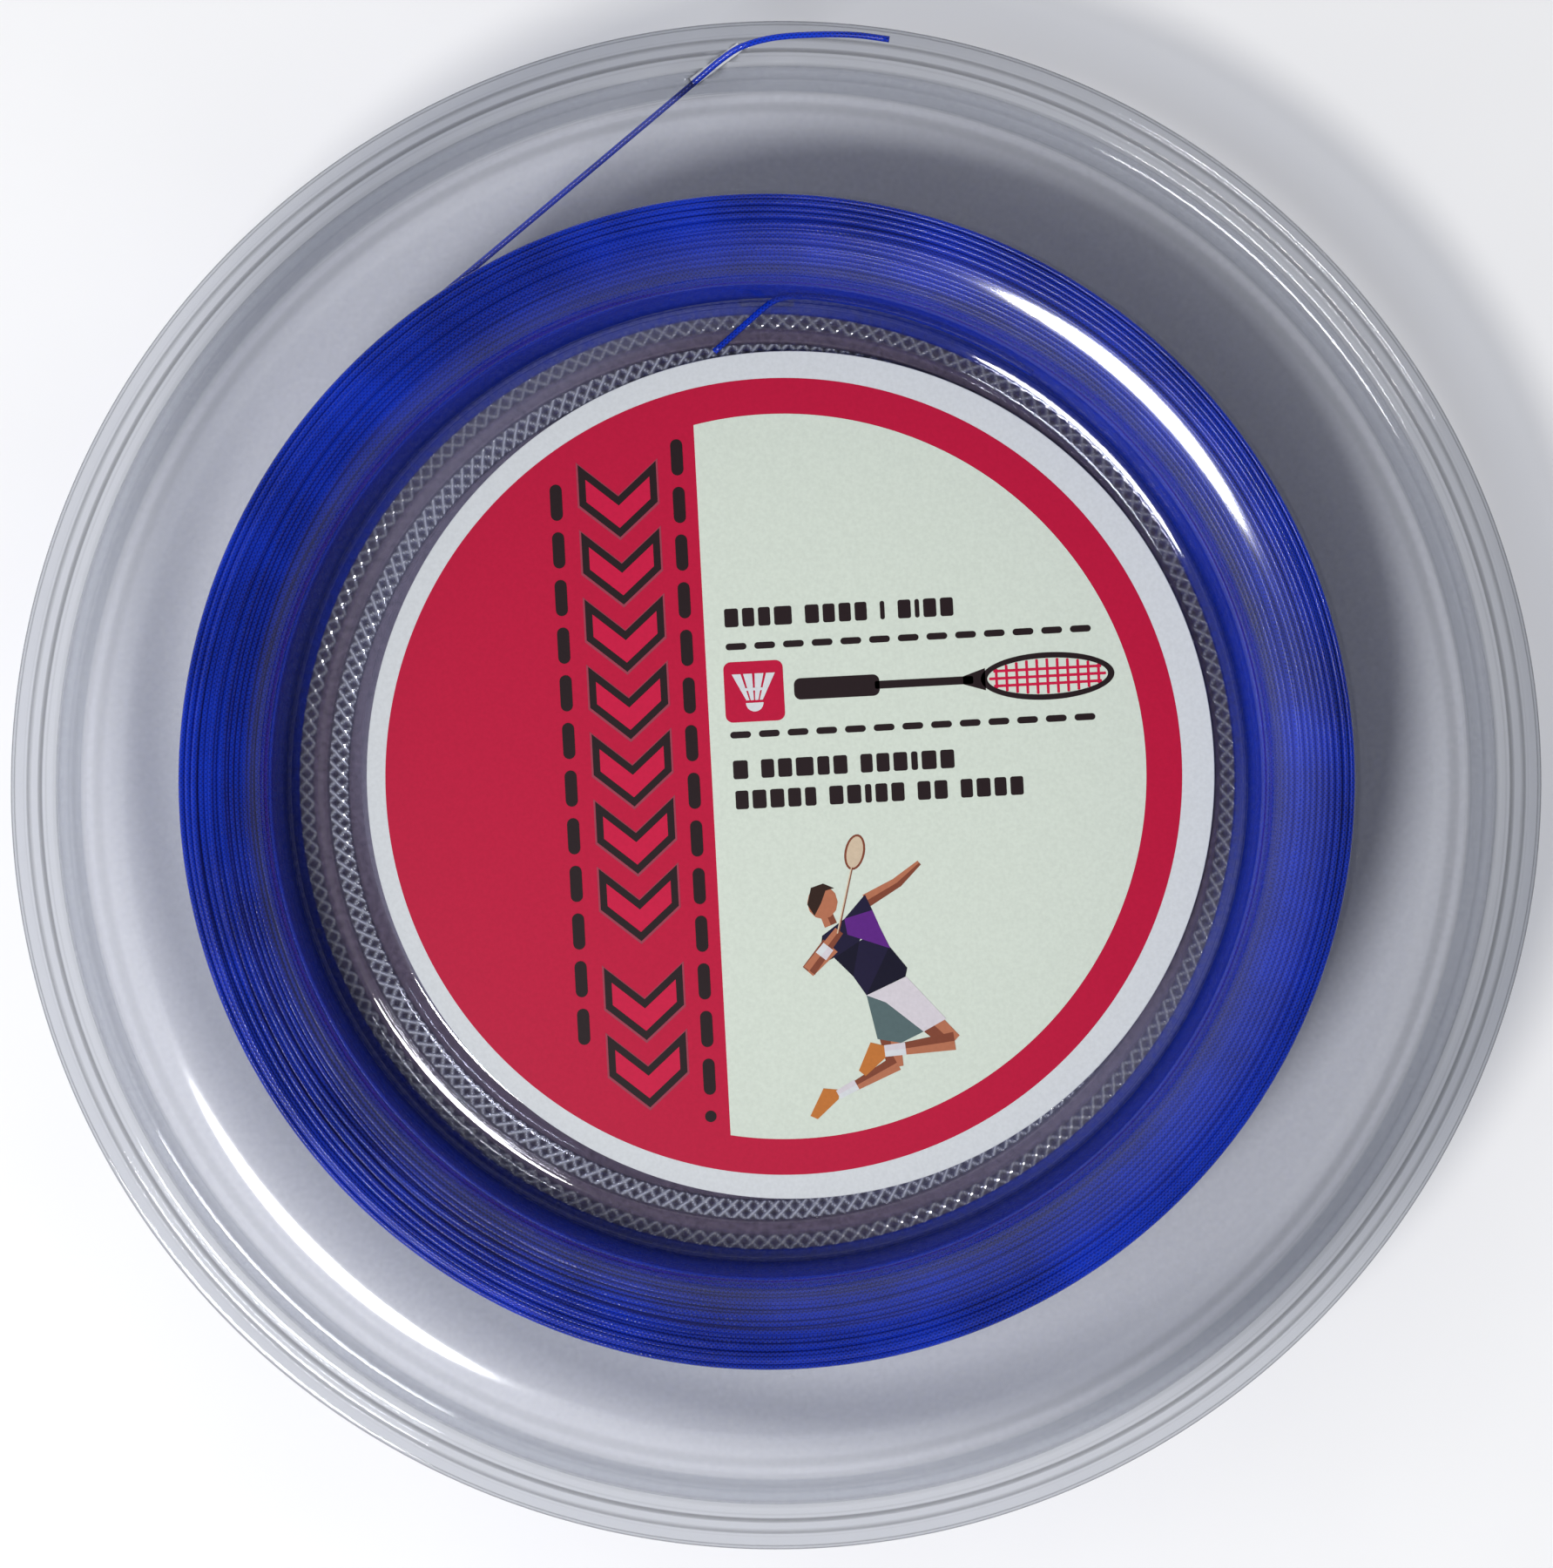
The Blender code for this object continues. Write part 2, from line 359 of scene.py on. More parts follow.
def string_material(name, dark, light, sheen_roughness):
    """Braided nylon: crossing strands in relief, with lighter and darker lengths."""
    strands_round = 4.0
    strands_per_diameter = 1.4
    strand_tone, strand_relief = 0.3, 0.008 * MM
    patch_scale = 90.0
    made, nodes, link, output = new_material(name)
    coordinates = nodes.new("ShaderNodeTexCoord")
    parts = nodes.new("ShaderNodeSeparateXYZ")
    link(coordinates.outputs["UV"], parts.inputs[0])
    waves = []
    for hand in (-strands_round, strands_round):
        slant = maths(nodes, link, "MULTIPLY", parts.outputs["Y"], hand)
        along = maths(nodes, link, "MULTIPLY", parts.outputs["X"], strands_per_diameter)
        phase = maths(nodes, link, "ADD", along, slant)
        waves.append(maths(nodes, link, "SINE", maths(nodes, link, "MULTIPLY", phase, tau)))
    braid = maths(nodes, link, "MAXIMUM", *waves)
    patches = noise(nodes, link, coordinates.outputs["Object"], patch_scale, 3.0)
    tone = maths(nodes, link, "MULTIPLY_ADD", braid, strand_tone, patches)
    colour = ramp(nodes, link, tone, [(0.15, dark), (0.95, light)])
    shader = nodes.new("ShaderNodeBsdfPrincipled")
    link(colour, shader.inputs["Base Color"])
    shader.inputs["Roughness"].default_value = sheen_roughness
    shader.inputs["Specular IOR Level"].default_value = 0.36
    link(bump(nodes, link, braid, strand_relief), shader.inputs["Normal"])
    link(shader.outputs[0], output.inputs["Surface"])
    return made


def print_material(name, colour, roughness=0.42):
    """Satin printed paper: a faint mottle in the ink and the paper's grain."""
    made, nodes, link, output = new_material(name)
    place = nodes.new("ShaderNodeTexCoord").outputs["Object"]
    mottle = noise(nodes, link, place, 2600.0, 2.0)
    low = tuple(0.96 * channel for channel in colour)
    high = tuple(min(1.04 * channel, 1.0) for channel in colour)
    shader = nodes.new("ShaderNodeBsdfPrincipled")
    link(ramp(nodes, link, mottle, [(0.3, low), (0.7, high)]), shader.inputs["Base Color"])
    shader.inputs["Roughness"].default_value = roughness
    shader.inputs["Specular IOR Level"].default_value = 0.1
    link(bump(nodes, link, mottle, 0.01 * MM, 0.4), shader.inputs["Normal"])
    link(shader.outputs[0], output.inputs["Surface"])
    return made


# --- Camera ----------------------------------------------------------------------------------------


def add_camera():
    """Straight above the reel, 430 mm from its front face, with +Y up in the picture."""
    focal_length, height = 94.47, 458.0
    data = bpy.data.cameras.new("camera")
    data.sensor_width = 36.0
    data.lens = focal_length
    data.clip_start = 0.01
    camera = bpy.data.objects.new("camera", data)
    camera.location = Vector((0.12, 0.15, height)) * MM
    bpy.context.scene.collection.objects.link(camera)
    bpy.context.scene.camera = camera


# --- The string's two loose ends -------------------------------------------------------------------


def on_hub(radius, degrees, height):
    """A point at a radius and angle round the hub's axis."""
    angle = radians(degrees)
    return HUB + Vector((radius * cos(angle), radius * sin(angle), height))


def tail_route():
    """The outer end: straight off the winding, up through the slit, then along the rim."""
    radius = TAIL_START_RADIUS + CLEARANCE + STRING / 2
    off_winding = on_hub(radius, TAIL_START_DEG, TAIL_START_HEIGHT)
    route = [
        (-29.8, 57.0, 20.0),
        (-20.0, 64.7, 22.9),
        (-12.0, 71.0, 25.25),
        (-8.6, 73.65, 26.45),
        (-5.7, 75.85, 27.85),
        (-3.5, 77.1, 28.68),
        (-0.2, 78.0, 28.75),
        (4.3, 78.35, 28.68),
        (8.4, 78.3, 28.68),
        (11.9, 77.85, 28.68),
    ]
    return [off_winding] + [Vector(point) * MM for point in route]


def inner_route():
    """The inner end: round the hub under the winding, out through the hole, over the weld rings."""
    around = [
        on_hub(CHANNEL_RADIUS, degrees, INNER_END_HEIGHT)
        for degrees in (57.0, 62.0, 67.0, 72.0, 77.0, 82.0, 86.0)
    ]
    out_of_hole = [(1.7, 52.05), (0.75, 51.7), (-0.2, 51.05), (-1.3, 50.1), (-3.5, 48.15), (-5.7, 46.2)]
    return around + [HUB + Vector((x * MM, y * MM, INNER_END_HEIGHT)) for x, y in out_of_hole]


def add_loose_end(name, route, finish):
    points = smooth_curve(route, STRING)
    vertices, faces, uvs = tube(points, STRING, TAIL_SIDES, closed=False)
    piece = add_piece(name + "_cord", mesh_of(name, vertices, faces, uvs), finish, "blue_string", name)


# --- The formed halves -----------------------------------------------------------------------------


def smoothstep(low, high, value):
    """From 0 at low to 1 at high, with no corner at either."""
    part = np.clip((value - low) / (high - low), 0.0, 1.0)
    return part * part * (3 - 2 * part)


def zone(points, spacing):
    """Rows of (radius, depth below the front face) on a smooth curve through a zone's points, in mm."""
    curve = smooth_curve([Vector((radius, 0.0, depth)) for radius, depth in points], spacing)
    return [(point.x, point.z) for point in curve]


def outward_rows():
    """The outward face from the rim's edge in to the axis: (radius, depth, steps, finish) rows."""
    rim = zone(
        [
            (80.0, -0.3),
            (79.9, -0.08),
            (79.6, -0.01),
            (78.85, -0.01),
            (78.62, -0.12),
            (78.45, -0.24),
            (78.25, -0.12),
            (78.0, -0.01),
            (77.1, -0.02),
            (76.88, -0.2),
            (76.65, -0.52),
            (76.42, -0.46),
            (76.15, -0.42),
            (75.8, -0.46),
            (75.3, -0.74),
            (74.85, -1.03),
            (74.5, -1.17),
            (74.2, -1.18),
            (73.8, -1.11),
            (73.4, -1.03),
        ],
        0.16,
    )
    flange = zone(
        [
            (73.4, -1.03),
            (72.6, -0.87),
            (71.2, -0.61),
            (69.85, -0.337),
            (69.2, -0.225),
            (68.6, -0.145),
            (67.8, -0.078),
            (67.0, -0.05),
            (65.0, -0.045),
            (63.0, -0.045),
            (61.9, -0.05),
            (60.5, -0.11),
            (59.2, -0.26),
            (57.8, -0.55),
            (56.7, -0.88),
            (55.5, -1.32),
            (54.4, -1.86),
            (53.4, -2.58),
        ],
        0.65,
    )
    corner = zone([(53.4, -2.58), (52.8, -3.4), (52.45, -4.4), (52.2, -5.6)], 0.3)
    wall = zone([(52.2, -5.6), (51.95, -8.0), (51.7, -10.2), (51.6, -11.4)], 0.8)
    foot = zone(
        [
            (51.6, -11.4),
            (51.55, -12.2),
            (51.45, -12.7),
            (51.25, -12.98),
            (50.95, -13.09),
            (50.65, -13.19),
            (50.4, -13.3),
        ],
        0.2,
    )
    band = zone(
        [
            (48.8, -13.35),
            (48.68, -13.2),
            (48.5, -13.12),
            (48.0, -13.05),
            (47.5, -13.03),
            (47.38, -13.12),
            (47.3, -13.35),
        ],
        0.15,
    )
    centre = zone([(45.0, -13.35), (43.0, -13.33), (42.6, -13.0)], 0.6)
    rows = [(r, z, RIM_STEPS, RIM) for r, z in rim]
    rows += [(r, z, RIM_STEPS, FLANGE if r > SHOULDER_RADIUS else SHOULDER) for r, z in flange[1:]]
    rows += [(r, z, RIM_STEPS, WALL) for r, z in corner[1:] + wall[1:] + foot[1:]]
    rows += knurl_rows(*OUTER_WELD)
    rows += [(r, z, RIM_STEPS, WEB) for r, z in band]
    rows += knurl_rows(*INNER_WELD)
    rows += [(r, z, RIM_STEPS, WEB) for r, z in centre]
    return rows + [(38.0, -13.0, INNER_STEPS, WEB), (16.0, -13.0, INNER_STEPS, WEB)]


def knurl_rows(outer, inner):
    """Fine rows between two radii, at the weld rings' depth."""
    radii = np.linspace(outer, inner, KNURL_ROWS + 2)[1:-1]
    return [(radius, WELD_DEPTH, KNURL_STEPS, WELD) for radius in radii]


def inward_rows(outward):
    """Rows of the sheet's other face, from the axis out to the rim's edge, a sheet's thickness in."""
    plain = [row for row in outward if row[3] != WELD]
    curve = np.array([row[:2] for row in plain])
    reach = 3
    ahead = np.roll(curve, -reach, axis=0)
    behind = np.roll(curve, reach, axis=0)
    ahead[-reach:] = curve[-1]
    behind[:reach] = curve[0]
    along = ahead - behind
    along /= np.linalg.norm(along, axis=1, keepdims=True)
    inward = np.stack([-along[:, 1], along[:, 0]], axis=1)
    moved = curve + inward * SHEET / MM
    moved[0] = (curve[0][0], curve[0][1] - RIM_EDGE)
    rows = [(r, z, INNER_STEPS, row[3]) for (r, z), row in zip(moved, plain)]
    return rows[::-1]


def knurl_depth(angle, radius):
    """How far a crossed knurl stands above the weld ring: small pyramids between crossing grooves."""
    around = angle / tau * KNURLS_PER_TURN
    out = radius / (KNURL_PITCH / MM)
    one = np.abs(2 * np.mod(around + out, 1.0) - 1)
    other = np.abs(2 * np.mod(around - out, 1.0) - 1)
    return KNURL_HEIGHT / MM * (1 - np.maximum(one, other)) * 2


def ridge_line(row):
    """How near each vertex of a row is to a groove of the knurl, times its weld ring's strength."""
    radius, _, steps, finish = row
    if finish != WELD:
        return np.zeros(steps)
    angle = np.arange(steps) / steps * tau
    strength = OUTER_WELD_STRENGTH if radius > INNER_WELD[0] else INNER_WELD_STRENGTH
    return strength * (1 - knurl_depth(angle, radius) / (2 * KNURL_HEIGHT / MM))


def tail_lift(x, y, radius):
    """How far the loose end holds the front flange up where it comes to the slit, in mm."""
    away = (x - TAIL_PRESS[0]) ** 2 + (y - TAIL_PRESS[1]) ** 2
    fade = 1 - smoothstep(*TAIL_PRESS_END, radius)
    return TAIL_PRESS_LIFT * np.exp(-away / TAIL_PRESS_SPREAD**2) * fade


def shell_vertices(rows, is_front):
    """Rings of vertices in mm, with the hub's shift and the forming's slight unevenness."""
    rings = []
    for radius, depth, steps, finish in rows:
        angle = np.arange(steps) / steps * tau
        height = np.full(steps, depth)
        if finish == WELD:
            height = height + knurl_depth(angle, radius)
        loose = smoothstep(*OUTLINE_GROWTH, radius)
        outline = radius + loose * sum(size * np.sin(n * angle + phase) for n, size, phase in OUTLINE_WAVES)
        waves, size, phase = HEIGHT_WAVE
        height = height + smoothstep(*HEIGHT_GROWTH, radius) * size * (np.sin(waves * angle + phase) - 1)
        shift = 1 - smoothstep(HUB_BLEND[0] / MM, HUB_BLEND[1] / MM, radius)
        x = outline * np.cos(angle) + HUB.x / MM * shift
        y = outline * np.sin(angle) + HUB.y / MM * shift
        if is_front:
            height = height + tail_lift(x, y, radius)
        rings.append(np.stack([x, y, height + REEL_TOP / MM], axis=1))
    return rings


def stitch(first, second):
    """Faces between two rings of vertex numbers, one count a multiple of the other."""
    few, many = (first, second) if len(first) <= len(second) else (second, first)
    ratio = len(many) // len(few)
    faces = []
    for i in range(len(few)):
        a, b = few[i], few[(i + 1) % len(few)]
        run = [many[(i * ratio + k) % len(many)] for k in range(ratio + 1)]
        faces.append([a, b] + run[::-1] if few is first else run + [b, a])
    return faces


def half_mesh(name, is_front):
    """A half, facing the front, as one closed body: inward face out to the rim, outward face back in."""
    outward = outward_rows()
    rows = inward_rows(outward) + outward
    rings = shell_vertices(rows, is_front)
    starts = np.cumsum([0] + [len(ring) for ring in rings])
    numbers = [list(range(a, b)) for a, b in zip(starts, starts[1:])]
    vertices = np.concatenate(rings)
    faces, finishes = [], []
    for k, (here, there) in enumerate(zip(numbers, numbers[1:])):
        made = stitch(here, there)
        faces += made
        finishes += [max(rows[k][3], rows[k + 1][3])] * len(made)
    hub = np.array([[HUB.x / MM, HUB.y / MM, rings[0][0][2]], [HUB.x / MM, HUB.y / MM, rings[-1][0][2]]])
    low, high = len(vertices), len(vertices) + 1
    first, last = numbers[0], numbers[-1]
    faces += [[low, first[(i + 1) % len(first)], first[i]] for i in range(len(first))]
    faces += [[high, last[i], last[(i + 1) % len(last)]] for i in range(len(last))]
    finishes += [WEB] * (len(first) + len(last))
    mesh = mesh_of(name, np.concatenate([vertices, hub]) * MM, faces)
    mesh.polygons.foreach_set("material_index", finishes)
    mesh.polygons.foreach_set("use_smooth", [finish != WELD for finish in finishes])
    ridges = [ridge_line(row) for row in rows]
    knurl = mesh.attributes.new("knurl", "FLOAT", "POINT")
    knurl.data.foreach_set("value", np.concatenate(ridges + [np.zeros(2)]).astype(np.float32))
    return mesh


def box_cutter(size, place, direction):
    """A closed box whose long side runs along a direction in plan."""
    cutter = bpy.data.meshes.new("cutter")
    corners = [(x, y, z) for x in (-0.5, 0.5) for y in (-0.5, 0.5) for z in (-0.5, 0.5)]
    sides = [(0, 1, 3, 2), (4, 6, 7, 5), (0, 4, 5, 1), (2, 3, 7, 6), (0, 2, 6, 4), (1, 5, 7, 3)]
    cutter.from_pydata(corners, [], sides)
    cutter.transform(
        Matrix.Translation(place) @ Matrix.Rotation(direction, 4, "Z") @ Matrix.Diagonal((*size, 1.0))
    )
    made = bpy.data.objects.new("cutter", cutter)
    bpy.context.scene.collection.objects.link(made)
    return made


def cut_openings(piece, boxes):
    """Cuts boxes out of a piece, and applies the result to its mesh."""
    cutters = [box_cutter(*box) for box in boxes]
    for cutter in cutters:
        opening = piece.modifiers.new("opening", "BOOLEAN")
        opening.operation = "DIFFERENCE"
        opening.solver = "MANIFOLD"
        opening.object = cutter
    bpy.context.view_layer.update()
    graph = bpy.context.evaluated_depsgraph_get()
    result = bpy.data.meshes.new_from_object(piece.evaluated_get(graph))
    piece.modifiers.clear()
    piece.data = result
    for cutter in cutters:
        bpy.data.objects.remove(cutter, do_unlink=True)


def make_shells():
    clear = sheet_material("clear_flange", (0.982, 0.984, 0.99), 0.032, 0.95, 0.014, 0.08, edge=0.3)
    shoulder = sheet_material("clear_shoulder", (0.97, 0.975, 0.985), 0.03, 0.7, 0.001, 0.08, edge=0.2)
    rim = sheet_material("clear_rim", (0.815, 0.825, 0.845), 0.013, 0.6, edge=0.45)
    rear = sheet_material("clear_rear_flange", (0.97, 0.973, 0.98), 0.02, 0.6, haze=0.065, edge=0.25)
    rear_rim = sheet_material("clear_rear_rim", (0.955, 0.958, 0.965), 0.002, 0.2, 0.05, 0.25, edge=0.1)
    # The wall's frosting is painted blue light from the string behind it
    wall = sheet_material("clear_wall", (0.96, 0.965, 0.98), 0.025, 0.22, haze=0.26, frosting=PAINTED_STRING_SHINE)
    # The web's frosting is partly painted reflection: a purplish diffuse share that lifts the dark web
    web = sheet_material("clear_web", (0.80, 0.81, 0.85), 0.04, 0.95, haze=0.055, frosting=WEB_FROST_AND_PAINTED_SHINE)
    weld = sheet_material("weld_knurl", (0.76, 0.77, 0.82), 0.10, 0.6, 0.006, 0.08, knurled=True)
    hub_finishes = [shoulder, wall, web, weld]
    front_mesh = half_mesh("front_half", True)
    front = add_piece("front_half", front_mesh, [clear, rim] + hub_finishes, "clear_sheet", "front_shell")
    rear_mesh = half_mesh("rear_half", False)
    rear_mesh.transform(Matrix.Translation((0, 0, REEL_TOP)) @ Matrix.Diagonal((1, 1, -1, 1)))
    rear_mesh.flip_normals()
    add_piece("rear_half", rear_mesh, [rear, rear_rim] + hub_finishes, "clear_sheet", "rear_shell")
    slit = (Vector(SLIT_CUT) * MM, Vector(SLIT_PLACE) * MM, SLIT_DIRECTION)
    hole_place = HUB + Vector((HOLE_PLACE[0] * MM, HOLE_PLACE[1] * MM, INNER_END_HEIGHT))
    hole = (Vector(HOLE_CUT) * MM, hole_place, 0.0)
    cut_openings(front, [slit, hole])


# --- The wound string ------------------------------------------------------------------------------


def crown(radius):
    """Half the winding's width at a radius, in mm: it rises from the bore and falls at the outside."""
    radii = [53.0, 54.3, 56.0, 57.5, 59.2, 60.6, 61.5, 61.8]
    below_crown = [6.4, 4.7, 2.9, 1.6, 0.55, 0.15, 0.5, 1.6]
    return PACK_CROWN / MM - np.interp(radius, radii, below_crown)


def wander(angle, seed, size):
    """A slow uneven wave round the hub."""
    rng = random.Random(seed)
    total = np.zeros_like(angle)
    for waves in (1, 2, 3, 5, 8):
        total += rng.uniform(0.4, 1.0) / waves**0.6 * np.sin(waves * angle + rng.uniform(0, tau))
    return size * total / 2


def ring_points(radius, height, angle):
    """Points in metres round the hub, from radii and heights in mm."""
    x = radius * np.cos(angle) + HUB.x / MM
    y = radius * np.sin(angle) + HUB.y / MM
    return np.stack([x, y, np.broadcast_to(height, angle.shape)], axis=1) * MM


def face_turns(side, seed):
    """The turns that show on one end of the winding, with six that cross over them.

    Side is 1 for the front and -1 for the rear.
    """
    steps, crossings = 360, 6
    angle = np.arange(steps) / steps * tau
    thick = STRING / MM
    inner, outer = PACK_INNER / MM + thick / 2, PACK_OUTER / MM - thick / 2
    across = np.linspace(inner, outer, 400)
    walked = np.concatenate([[0.0], np.cumsum(np.hypot(np.diff(across), np.diff(crown(across))))])
    count = int(walked[-1] / thick) + 1
    bases = np.interp(np.linspace(0.0, walked[-1], count), walked, across)
    shared = wander(angle, seed, SHARED_WANDER)
    middle = PACK_MIDDLE / MM
    sink = 0.06
    turns = []
    for k, base in enumerate(bases):
        radius = base + shared * sin(pi * (k + 0.5) / count) + wander(angle, seed * 31 + k, TURN_WANDER)
        half = crown(np.clip(radius, inner, outer)) - thick / 2 - sink
        half = half + wander(angle, seed * 57 + k, HEIGHT_WANDER)
        turns.append(ring_points(radius, middle + side * half, angle))
    rng = random.Random(seed + 5)
    for k in range(crossings):
        base = inner + (outer - inner) * (k + 1.2) / 7.5
        swing = rng.uniform(0.7, 1.6) * rng.choice((-1, 1))
        start = rng.uniform(0, tau)
        crossing = np.sin((angle - start) / 2) ** 2
        radius = np.clip(base + swing * (crossing - 0.5), inner, outer - 0.3)
        radius = radius + wander(angle, seed * 13 + k, 0.06)
        lift = 0.12 + 0.16 * np.sin(pi * crossing) ** 2
        half = crown(np.clip(radius, inner, outer)) - thick / 2 + lift
        turns.append(ring_points(radius, middle + side * half, angle))
    return turns


def stacked_turns(radius, half, count, seed, flare=0.0, aside=0.0):
    """Turns that lie side by side along the hub, on the winding's outside or in its bore.

    Flare is how far the end turns stand out from the middle one, and aside is the room that all of
    them leave for the inner end.
    """
    steps = 240
    angle = np.arange(steps) / steps * tau
    shared = wander(angle, seed, STACK_WANDER)
    turns = []
    for k in range(count):
        height = PACK_MIDDLE / MM - half + 2 * half * k / (count - 1)
        ease = sin(pi * k / (count - 1))
        across = 2 * k / (count - 1) - 1
        room = aside * np.exp(-(((angle - INNER_END_MIDDLE) / INNER_END_SPREAD) ** 2))
        own = radius + flare * across**2 + room + wander(angle, seed * 17 + k, TURN_WANDER)
        swayed = height + shared * ease + wander(angle, seed * 7 + k, HEIGHT_WANDER)
        turns.append(ring_points(own, swayed, angle))
    return turns


def core_mesh():
    """The winding below its outermost turns: a turned ring with ridges of a string's pitch."""
    thick = STRING / MM
    inner, outer = PACK_INNER / MM + thick * 0.6, PACK_OUTER / MM - thick * 0.6
    rows, steps = 25, 180
    across = np.linspace(inner, outer, rows)
    ridges = 0.06 * np.cos(np.arange(rows) * pi)
    top = [(r, crown(r) - thick * 0.62 + ridge) for r, ridge in zip(across, ridges)]
    ring = top + [(r, -h) for r, h in top[::-1]]
    angle = np.arange(steps) / steps * tau
    rings = [ring_points(np.full(steps, r), PACK_MIDDLE / MM + h, angle) for r, h in ring]
    numbers = [list(range(k * steps, (k + 1) * steps)) for k in range(len(rings))]
    faces = []
    for here, there in zip(numbers, numbers[1:] + numbers[:1]):
        faces += stitch(there, here)
    return mesh_of("winding_core", np.concatenate(rings), faces)


def make_winding(blue, painted_light_bore_blue):
    outer_half = PACK_CROWN / MM - 1.9
    bore_half = PACK_CROWN / MM - 6.6
    outer = PACK_OUTER / MM - STRING / MM / 2
    bore = PACK_INNER / MM - STRING / MM * 0.55
    outer_turns = stacked_turns(outer, outer_half, 34, 4)
    bore_turns = stacked_turns(bore, bore_half, 19, 6, flare=0.35, aside=0.5)
    parts = {
        "winding_front_turns": (face_turns(1, 3), FACE_SIDES, blue),
        "winding_rear_turns": (face_turns(-1, 8), FACE_SIDES, blue),
        "winding_outer_turns": (outer_turns, SIDE_SIDES, blue),
        # The bore's turns wear a lighter copy of the string's blue: painted light where the bore is dim
        "winding_bore_turns": (bore_turns, SIDE_SIDES, painted_light_bore_blue),
    }
    for name, (paths, sides, finish) in parts.items():
        add_piece(name, tubes_mesh(name, paths, STRING, sides), finish, "blue_string", "string_pack")
    add_piece("winding_core", core_mesh(), blue, "blue_string", "string_pack")


# --- Label printing --------------------------------------------------------------------------------


def arc(radius, start, end, steps, centre=(0.0, 0.0)):
    """Points on an arc between two angles in degrees."""
    angles = [radians(start + (end - start) * k / steps) for k in range(steps + 1)]
    return [(centre[0] + radius * cos(a), centre[1] + radius * sin(a)) for a in angles]


def oval(x, y, wide, tall, steps):
    """Points on an upright ellipse, from its two half sizes."""
    turns = [k / steps * tau for k in range(steps)]
    return [(x + wide * cos(t), y + tall * sin(t)) for t in turns]


def capsule(x, y, long, wide, upright=False):
    """A dash with round ends."""
    reach = (long - wide) / 2
    right = arc(wide / 2, -90, 90, 8, (reach, 0))
    left = arc(wide / 2, 90, 270, 8, (-reach, 0))
    outline = right + left
    if upright:
        outline = [(-v, u) for u, v in outline]
    return [(x + u, y + v) for u, v in outline]


def rounded_box(x, y, wide, tall, corner):
    """A box with round corners, about its centre."""
    outline = []
    for sx, sy, start in ((1, 1, 0), (-1, 1, 90), (-1, -1, 180), (1, -1, 270)):
        centre = (x + sx * (wide / 2 - corner), y + sy * (tall / 2 - corner))
        outline += arc(corner, start, start + 90, 6, centre)
    return outline


def turned(points, degrees, centre):
    """Points turned anticlockwise about a centre."""
    c, s = cos(radians(degrees)), sin(radians(degrees))
    shifted = [(x - centre[0], y - centre[1]) for x, y in points]
    return [(centre[0] + x * c - y * s, centre[1] + x * s + y * c) for x, y in shifted]


class Print:
    """Flat inked shapes in mm on a label, kept as thin closed prisms with one material each."""

    def __init__(self, name, centre, surface, tilt):
        self.name = name
        self.centre = centre
        self.surface = surface
        self.tilt = tilt
        self.vertices, self.faces, self.inks, self.colours = [], [], [], []

    def ink(self, colour):
        if colour not in self.colours:
            self.colours.append(colour)
        return self.colours.index(colour)

    def keep(self, faces, colour):
        self.faces += faces
        self.inks += [self.ink(colour)] * len(faces)

    def place(self, outline, level):
        """Adds an outline's vertices, a number of ink films above the paper, and gives their numbers."""
        c, s = cos(self.tilt), sin(self.tilt)
        first = len(self.vertices)
        z = self.surface + level * PRINT_FILM
        for x, y in outline:
            spot = Vector(((x * c - y * s) * MM, (x * s + y * c) * MM, 0.0))
            self.vertices.append((self.centre.x + spot.x, self.centre.y + spot.y, z))
        return list(range(first, len(self.vertices)))

    def fill(self, outline, colour, level):
        """A filled shape, its outline given anticlockwise."""
        low, high = self.place(outline, 0), self.place(outline, level)
        count = len(outline)
        sides = [[low[i], low[(i + 1) % count], high[(i + 1) % count], high[i]] for i in range(count)]
        self.keep([high, low[::-1]] + sides, colour)

    def ring(self, outer, inner, colour, level):
        """The band between two outlines with the same number of points."""
        corners = ((outer, 0), (outer, level), (inner, level), (inner, 0))
        loops = [self.place(outline, height) for outline, height in corners]
        made = []
        for here, there in zip(loops, loops[1:] + loops[:1]):
            made += stitch(here, there)
        self.keep(made, colour)

    def finish(self, materials, slot, *replaced):
        mesh = bpy.data.meshes.new(self.name)
        mesh.from_pydata(self.vertices, [], self.faces)
        mesh.polygons.foreach_set("material_index", self.inks)
        return add_piece(self.name, mesh, [materials[c] for c in self.colours], slot, *replaced)


INKS = {
    "crimson": (0.46, 0.007, 0.042),
    "cream": (0.60, 0.66, 0.58),
    "black": (0.018, 0.010, 0.012),
    "halo": (0.30, 0.045, 0.075),
    "bright_red": (0.53, 0.009, 0.052),
    "white": (0.61, 0.635, 0.655),
    "navy": (0.012, 0.009, 0.035),
    "deep_navy": (0.006, 0.005, 0.018),
    "purple": (0.10, 0.016, 0.20),
    "pale_cloth": (0.60, 0.56, 0.60),
    "shaded_cloth": (0.085, 0.13, 0.135),
    "skin": (0.42, 0.15, 0.08),
    "shaded_skin": (0.20, 0.055, 0.03),
    "hair": (0.03, 0.014, 0.01),
    "beige": (0.58, 0.46, 0.33),
    "tan": (0.48, 0.16, 0.035),
}


